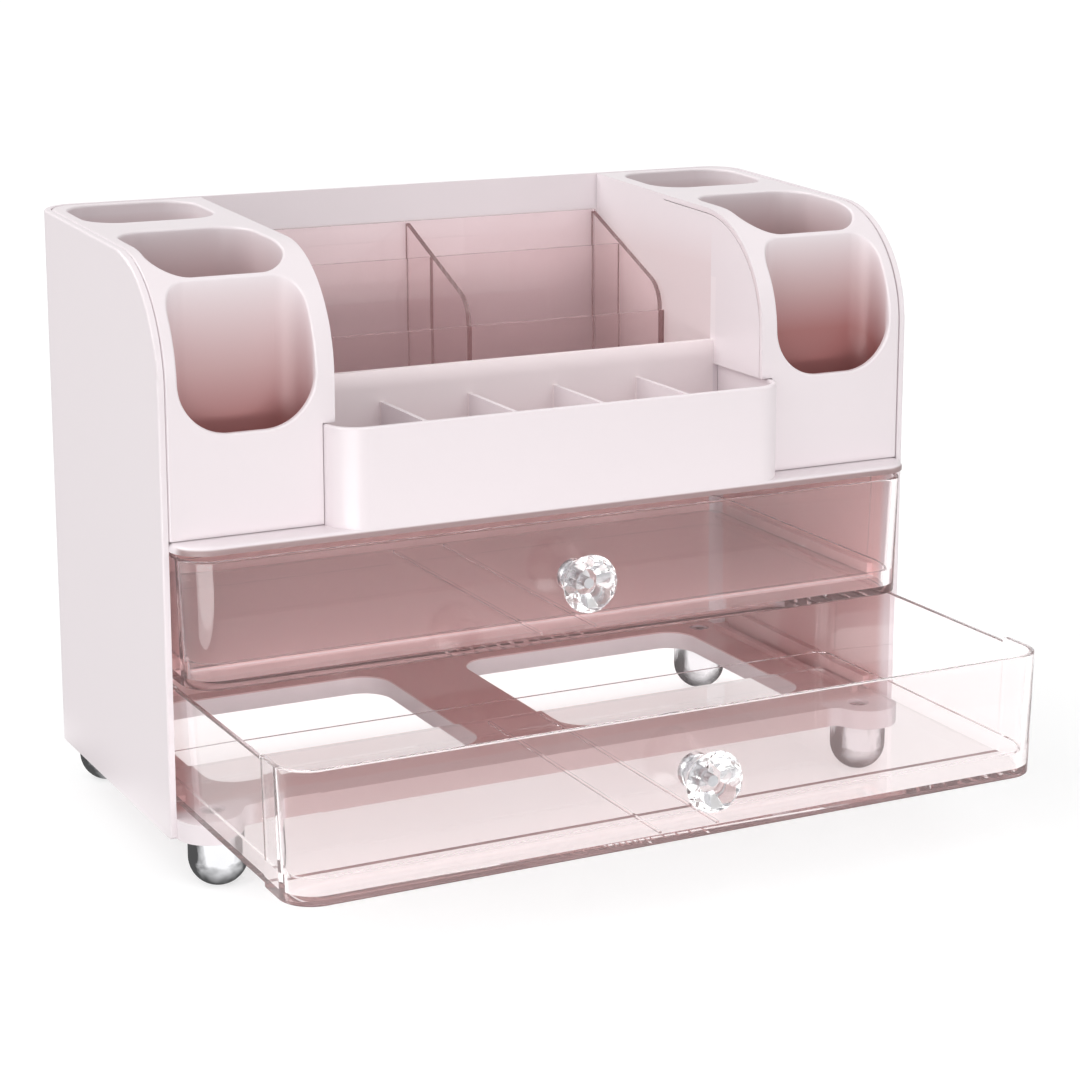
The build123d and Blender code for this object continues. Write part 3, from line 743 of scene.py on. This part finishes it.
def standOnFront(bm, low, high):
    for v in bm.verts:
        v.co = Vector(((low.x + high.x) / 2 + v.co.x, high.y - v.co.z, (low.z + high.z) / 2 + v.co.y))
    bmesh.ops.recalc_face_normals(bm, faces=bm.faces[:])


def makeDisc(bm, radius, start, end):
    made = bmesh.ops.create_cone(bm, cap_ends=True, segments=knob["around"], radius1=radius, radius2=radius,
                                 depth=end - start)
    bmesh.ops.translate(bm, verts=made["verts"], vec=(0, 0, (start + end) / 2))


def cutFacet(bm, turn, tilt, radius, level):
    outward = Vector((math.cos(turn) * math.sin(tilt), math.sin(turn) * math.sin(tilt), math.cos(tilt)))
    point = Vector((radius * math.cos(turn), radius * math.sin(turn), level))
    cutAcross(bm, point, outward, clearOuter=True)
    bmesh.ops.holes_fill(bm, edges=openEdges(bm))


def makeCrystal(nodeName, pieceName):
    low, high = (Vector(c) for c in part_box(nodeName))
    radius = (high.x - low.x) / 2
    length = high.y - low.y
    frontLevel = length - knob["crownHeight"]
    backLevel = frontLevel - knob["girdle"]
    crownTilt = math.atan2(knob["crownHeight"], radius - knob["tableRadius"])
    backTilt = math.pi - math.atan2(backLevel, radius - knob["seatRadius"])
    bm = bmesh.new()
    makeDisc(bm, radius, knob["seatGap"], length)
    pitch = 2 * math.pi / knob["facets"]
    for index in range(knob["facets"]):
        cutFacet(bm, index * pitch, crownTilt, radius, frontLevel)
        cutFacet(bm, index * pitch, backTilt, radius, backLevel)
    reach = radius * knob["breakReach"]
    for index in range(2 * knob["facets"]):
        turn = (index + 0.5) * pitch / 2
        cutFacet(bm, turn, crownTilt + math.radians(knob["crownBreak"]), reach, frontLevel)
        cutFacet(bm, turn, backTilt - math.radians(knob["pavilionBreak"]), reach, backLevel)
    bmesh.ops.remove_doubles(bm, verts=bm.verts[:], dist=near["point"])
    bmesh.ops.recalc_face_normals(bm, faces=bm.faces[:])
    bevelEdges(bm, sharpEdges(bm, knob["facetAngle"]), knob["edgeRound"], 1)
    standOnFront(bm, low, high)
    return finishPiece(bm, pieceName, materials["crystal_plastic"], [nodeName], knob["crystalSmooth"])


def makeCollar(nodeName, pieceName):
    low, high = (Vector(c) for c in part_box(nodeName))
    length = high.y - low.y
    bm = bmesh.new()
    makeDisc(bm, (high.x - low.x) / 2, knob["seatGap"], length)
    rim = [e for e in sharpEdges(bm, knob["collarAngle"]) if middle(e).z > length / 2]
    bevelEdges(bm, rim, knob["collarRound"], knob["collarSteps"])
    standOnFront(bm, low, high)
    return finishPiece(bm, pieceName, materials["crystal_plastic"], [nodeName], knob["collarSmooth"])


for level in ("upper", "lower"):
    for part, make in (("Crystal", makeCrystal), ("Collar", makeCollar)):
        piece = make(level + "_knob_" + part.lower(), level + "Knob" + part)
print("knobs made")


# Chrome feet: domes with a small flat to stand on

foot = {
    "around": 72,
    "rings": 40,
    "flat": 4.0 * mm,
    "smoothAngle": 30,  # degrees
}


def makeFoot(nodeName, pieceName):
    low, high = (Vector(c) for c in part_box(nodeName))
    radius = (high.x - low.x) / 2
    centre = Vector(((low.x + high.x) / 2, (low.y + high.y) / 2, 0))
    ballHeight = math.sqrt(radius**2 - foot["flat"] ** 2)
    bm = bmesh.new()
    bmesh.ops.create_uvsphere(bm, u_segments=foot["around"], v_segments=foot["rings"], radius=radius)
    for height, normal in ((-ballHeight, (0, 0, -1)), (0, (0, 0, 1))):
        cutAcross(bm, (0, 0, height), normal, snap=near["height"], clearOuter=True)
    bmesh.ops.translate(bm, verts=bm.verts, vec=centre + Vector((0, 0, ballHeight)))
    rim = [e for e in openEdges(bm) if middle(e).z > ballHeight / 2]
    drawn = bmesh.ops.extrude_edge_only(bm, edges=rim)
    bmesh.ops.translate(bm, verts=vertsIn(drawn), vec=(0, 0, high.z - ballHeight))
    bmesh.ops.holes_fill(bm, edges=openEdges(bm))
    bmesh.ops.recalc_face_normals(bm, faces=bm.faces[:])
    return finishPiece(bm, pieceName, materials["chrome"], [nodeName], foot["smoothAngle"])


for corner in ("front_left", "front_right", "rear_left", "rear_right"):
    words = corner.split("_")
    piece = makeFoot(corner + "_foot", words[0] + words[1].capitalize() + "FootDome")
print("feet made")


# Studio floor. The feet mirror it from close by, so what they see of it has bands of its own

floorLook = {
    "size": 6.0,
    "colour": (0.40, 0.40, 0.40, 1),
    "roughness": 0.85,
    "specular": 0.1,
    "glow": 0.62,
    "glowBehindGlass": 0.78,
    "bounce": 0.50,
    "reflection": (0.10, 1.25),
    "reflectionFar": 0.60,
    "patchScale": 70.0,
    "patchDetail": 2.0,
    "bandRange": (0.15, 1.05),
    "bandWeight": {"X": -0.35, "Y": -0.8},
    "footPitch": {"X": 274.0 * mm, "Y": 128.0 * mm},
    "footPlace": {"X": -137.0 * mm, "Y": -20.5 * mm},
    "footReach": (50.0 * mm, 110.0 * mm),
}
white = (1, 1, 1, 1)


def addFootBands(tree, rayLength):
    link = tree.links.new
    place = addNode(tree, "ShaderNodeTexCoord")
    split = addNode(tree, "ShaderNodeSeparateXYZ")
    patches = addNode(tree, "ShaderNodeTexNoise", [
        ("Scale", floorLook["patchScale"]), ("Detail", floorLook["patchDetail"]),
    ])
    link(place.outputs["Object"], patches.inputs["Vector"])
    link(place.outputs["Object"], split.inputs[0])
    shade = patches.outputs["Fac"]
    for axis in "XY":
        turns = 2 * math.pi / floorLook["footPitch"][axis]
        offset = -turns * floorLook["footPlace"][axis]
        along = addNode(tree, "ShaderNodeMath", [(1, turns), (2, offset)], operation="MULTIPLY_ADD")
        wave = addNode(tree, "ShaderNodeMath", operation="SINE")
        weight = floorLook["bandWeight"][axis]
        weighed = addNode(tree, "ShaderNodeMath", [(1, weight)], operation="MULTIPLY_ADD")
        link(split.outputs[axis], along.inputs[0])
        link(along.outputs[0], wave.inputs[0])
        link(wave.outputs[0], weighed.inputs[0])
        link(shade, weighed.inputs[2])
        shade = weighed.outputs[0]
    darkest, brightest = floorLook["bandRange"]
    dim, bright = floorLook["reflection"]
    greys = addNode(tree, "ShaderNodeMapRange", [
        ("From Min", darkest), ("From Max", brightest), ("To Min", dim), ("To Max", bright),
    ])
    # Past a foot's own reach the floor mirrors evenly
    closeBy, farOff = floorLook["footReach"]
    reach = addNode(tree, "ShaderNodeMapRange", [("From Min", closeBy), ("From Max", farOff)])
    even = addNode(tree, "ShaderNodeMix", [("B", floorLook["reflectionFar"])], data_type="FLOAT")
    link(shade, greys.inputs["Value"])
    link(rayLength, reach.inputs["Value"])
    link(reach.outputs["Result"], even.inputs["Factor"])
    link(greys.outputs["Result"], even.inputs["A"])
    return even.outputs["Result"]


def makeFloorMaterial():
    material = newMaterial("paleFloor")
    tree = material.node_tree
    link = tree.links.new
    path = addNode(tree, "ShaderNodeLightPath")
    shader = addNode(tree, "ShaderNodeBsdfPrincipled", [
        ("Base Color", floorLook["colour"]), ("Roughness", floorLook["roughness"]),
        ("Specular IOR Level", floorLook["specular"]), ("Emission Color", white),
    ])
    # The eye sees it dimmer than glass does, so that soft shadows show and cut-outs stay white
    glow = addNode(tree, "ShaderNodeMix", [("A", floorLook["glowBehindGlass"]), ("B", floorLook["glow"])],
                   data_type="FLOAT")
    link(path.outputs["Is Camera Ray"], glow.inputs["Factor"])
    link(glow.outputs["Result"], shader.inputs["Emission Strength"])
    # Diffuse rays see an even, dimmer floor, and mirrored rays see the bands
    bounce = addNode(tree, "ShaderNodeEmission", [("Strength", floorLook["bounce"])])
    mirrored = addNode(tree, "ShaderNodeEmission")
    link(addFootBands(tree, path.outputs["Ray Length"]), mirrored.inputs["Strength"])
    direct = addNode(tree, "ShaderNodeMath", [(0, 1.0)], operation="SUBTRACT")
    reflected = addNode(tree, "ShaderNodeMath", operation="MULTIPLY")
    link(path.outputs["Is Transmission Ray"], direct.inputs[1])
    link(path.outputs["Is Glossy Ray"], reflected.inputs[0])
    link(direct.outputs[0], reflected.inputs[1])
    first = addNode(tree, "ShaderNodeMixShader")
    second = addNode(tree, "ShaderNodeMixShader")
    link(path.outputs["Is Diffuse Ray"], first.inputs[0])
    link(shader.outputs["BSDF"], first.inputs[1])
    link(bounce.outputs["Emission"], first.inputs[2])
    link(reflected.outputs[0], second.inputs[0])
    link(first.outputs["Shader"], second.inputs[1])
    link(mirrored.outputs["Emission"], second.inputs[2])
    finishMaterial(tree, second.outputs["Shader"])
    return material


def makeFloor():
    bm = bmesh.new()
    bmesh.ops.create_grid(bm, x_segments=4, y_segments=4, size=floorLook["size"])
    mesh = bpy.data.meshes.new("paleFloor")
    bm.to_mesh(mesh)
    bm.free()
    floor = bpy.data.objects.new("paleFloor", mesh)
    bpy.context.scene.collection.objects.link(floor)
    mesh.materials.append(makeFloorMaterial())


# Cards round the object, which only gloss and glass see: bright ones for its highlights, dark ones for the
# bands between them in the chrome and the crystals

rose = (1.0, 0.58, 0.58, 1)
paleRose = (1.0, 0.85, 0.85, 1)
cards = [
    {"name": "cornerCard", "shade": 5.0, "colour": white,
     "from": (-0.40, -0.16), "to": (-0.18, -0.38), "low": 0.0, "high": 0.078},
    {"name": "leftDarkCard", "shade": 0.12, "colour": rose,
     "from": (-0.85, 1.0), "to": (-1.25, -0.03), "low": 0.0, "high": 0.9},
    {"name": "leftWindowCard", "shade": 2.4, "colour": white,
     "from": (-1.25, -0.04), "to": (-0.95, -0.95), "low": 0.04, "high": 0.9},
    {"name": "frontWindowCard", "shade": 2.8, "colour": white,
     "from": (-0.95, -0.95), "to": (-0.40, -1.32), "low": 0.04, "high": 0.9},
    {"name": "frontGreyCard", "shade": 0.5, "colour": paleRose,
     "from": (-0.39, -1.32), "to": (-0.05, -1.45), "low": 0.0, "high": 0.5},
    {"name": "frontBrightCard", "shade": 4.0, "colour": white,
     "from": (-0.04, -1.5), "to": (0.35, -1.5), "low": 0.25, "high": 0.9},
    {"name": "rightDarkCard", "shade": 0.12, "colour": rose,
     "from": (0.4, -1.45), "to": (0.85, -1.2), "low": 0.05, "high": 0.9},
    {"name": "rightBrightCard", "shade": 3.0, "colour": white,
     "from": (1.1, -0.9), "to": (1.25, -0.4), "low": 0.1, "high": 0.9},
]


def makeCard(card):
    bm = bmesh.new()
    start = bm.verts.new((*card["from"], card["low"]))
    end = bm.verts.new((*card["to"], card["low"]))
    edge = bm.edges.new((start, end))
    grown = bmesh.ops.extrude_edge_only(bm, edges=[edge])
    bmesh.ops.translate(bm, verts=vertsIn(grown), vec=(0, 0, card["high"] - card["low"]))
    mesh = bpy.data.meshes.new(card["name"])
    bm.to_mesh(mesh)
    bm.free()
    board = bpy.data.objects.new(card["name"], mesh)
    bpy.context.scene.collection.objects.link(board)
    material = newMaterial(card["name"])
    shader = addNode(material.node_tree, "ShaderNodeEmission", [
        ("Color", card["colour"]), ("Strength", card["shade"]),
    ])
    finishMaterial(material.node_tree, shader.outputs["Emission"])
    mesh.materials.append(material)
    board.visible_camera = False
    board.visible_diffuse = False
    board.visible_shadow = False


# Light: an even sky, three broad suns and a low panel in front that no mirror or glass shows

light = {  # spreads in degrees
    "skyColour": white,
    "skyStrength": 0.64,
    "bounces": 32,
    "suns": [
        {"name": "frontSun", "strength": 0.42, "spread": 50, "from": (0.35, -0.9, 1.3)},
        {"name": "leftSun", "strength": 0.84, "spread": 50, "from": (-1.0, -0.1, 0.5)},
        {"name": "rearSun", "strength": 0.95, "spread": 40, "from": (-0.8, 0.75, 1.3)},
    ],
    "lowPanel": {"watts": 1.9, "width": 1.0, "height": 0.10, "place": (-0.16, -0.72, 0.07)},
}


def addSky():
    world = bpy.data.worlds.new("studioSky")
    world.use_nodes = True
    sky = world.node_tree.nodes["Background"]
    sky.inputs["Color"].default_value = light["skyColour"]
    sky.inputs["Strength"].default_value = light["skyStrength"]
    bpy.context.scene.world = world


def addSun(sun):
    lamp = bpy.data.lights.new(sun["name"], "SUN")
    lamp.energy = sun["strength"]
    lamp.angle = math.radians(sun["spread"])
    holder = bpy.data.objects.new(sun["name"], lamp)
    bpy.context.scene.collection.objects.link(holder)
    holder.rotation_euler = (-Vector(sun["from"])).to_track_quat("-Z", "Y").to_euler()


def addLowPanel(panel):
    lamp = bpy.data.lights.new("lowFrontPanel", "AREA")
    lamp.shape = "RECTANGLE"
    lamp.size = panel["width"]
    lamp.size_y = panel["height"]
    lamp.energy = panel["watts"]
    holder = bpy.data.objects.new("lowFrontPanel", lamp)
    bpy.context.scene.collection.objects.link(holder)
    holder.location = panel["place"]
    holder.rotation_euler = Vector((0, 1, 0)).to_track_quat("-Z", "Z").to_euler()
    holder.visible_camera = False
    holder.visible_glossy = False
    holder.visible_transmission = False


def setLightPaths():
    # Rays cross many walls of clear plastic, so none of their kinds ends early
    paths = bpy.context.scene.cycles
    paths.max_bounces = light["bounces"]
    paths.glossy_bounces = light["bounces"]
    paths.transmission_bounces = light["bounces"]
    paths.transparent_max_bounces = light["bounces"]


# The camera of the photograph

lens = {  # angles in degrees, and the focal length and sensor in millimetres
    "place": (-0.45005, -0.8820, 0.3633),
    "tilt": 90 - 12.088,
    "turn": -26.894,
    "focalLength": 89.96,
    "sensorWidth": 36,
    "shiftUp": -0.1,
}


def addCamera():
    cameraData = bpy.data.cameras.new("photoCamera")
    cameraData.lens = lens["focalLength"]
    cameraData.sensor_width = lens["sensorWidth"]
    cameraData.shift_y = lens["shiftUp"]
    camera = bpy.data.objects.new("photoCamera", cameraData)
    camera.location = lens["place"]
    camera.rotation_euler = (math.radians(lens["tilt"]), 0, math.radians(lens["turn"]))
    bpy.context.scene.collection.objects.link(camera)
    bpy.context.scene.camera = camera


makeFloor()
for card in cards:
    makeCard(card)
addSky()
for sun in light["suns"]:
    addSun(sun)
addLowPanel(light["lowPanel"])
setLightPaths()
addCamera()
bpy.context.scene.view_settings.view_transform = "Standard"
print("studio made")
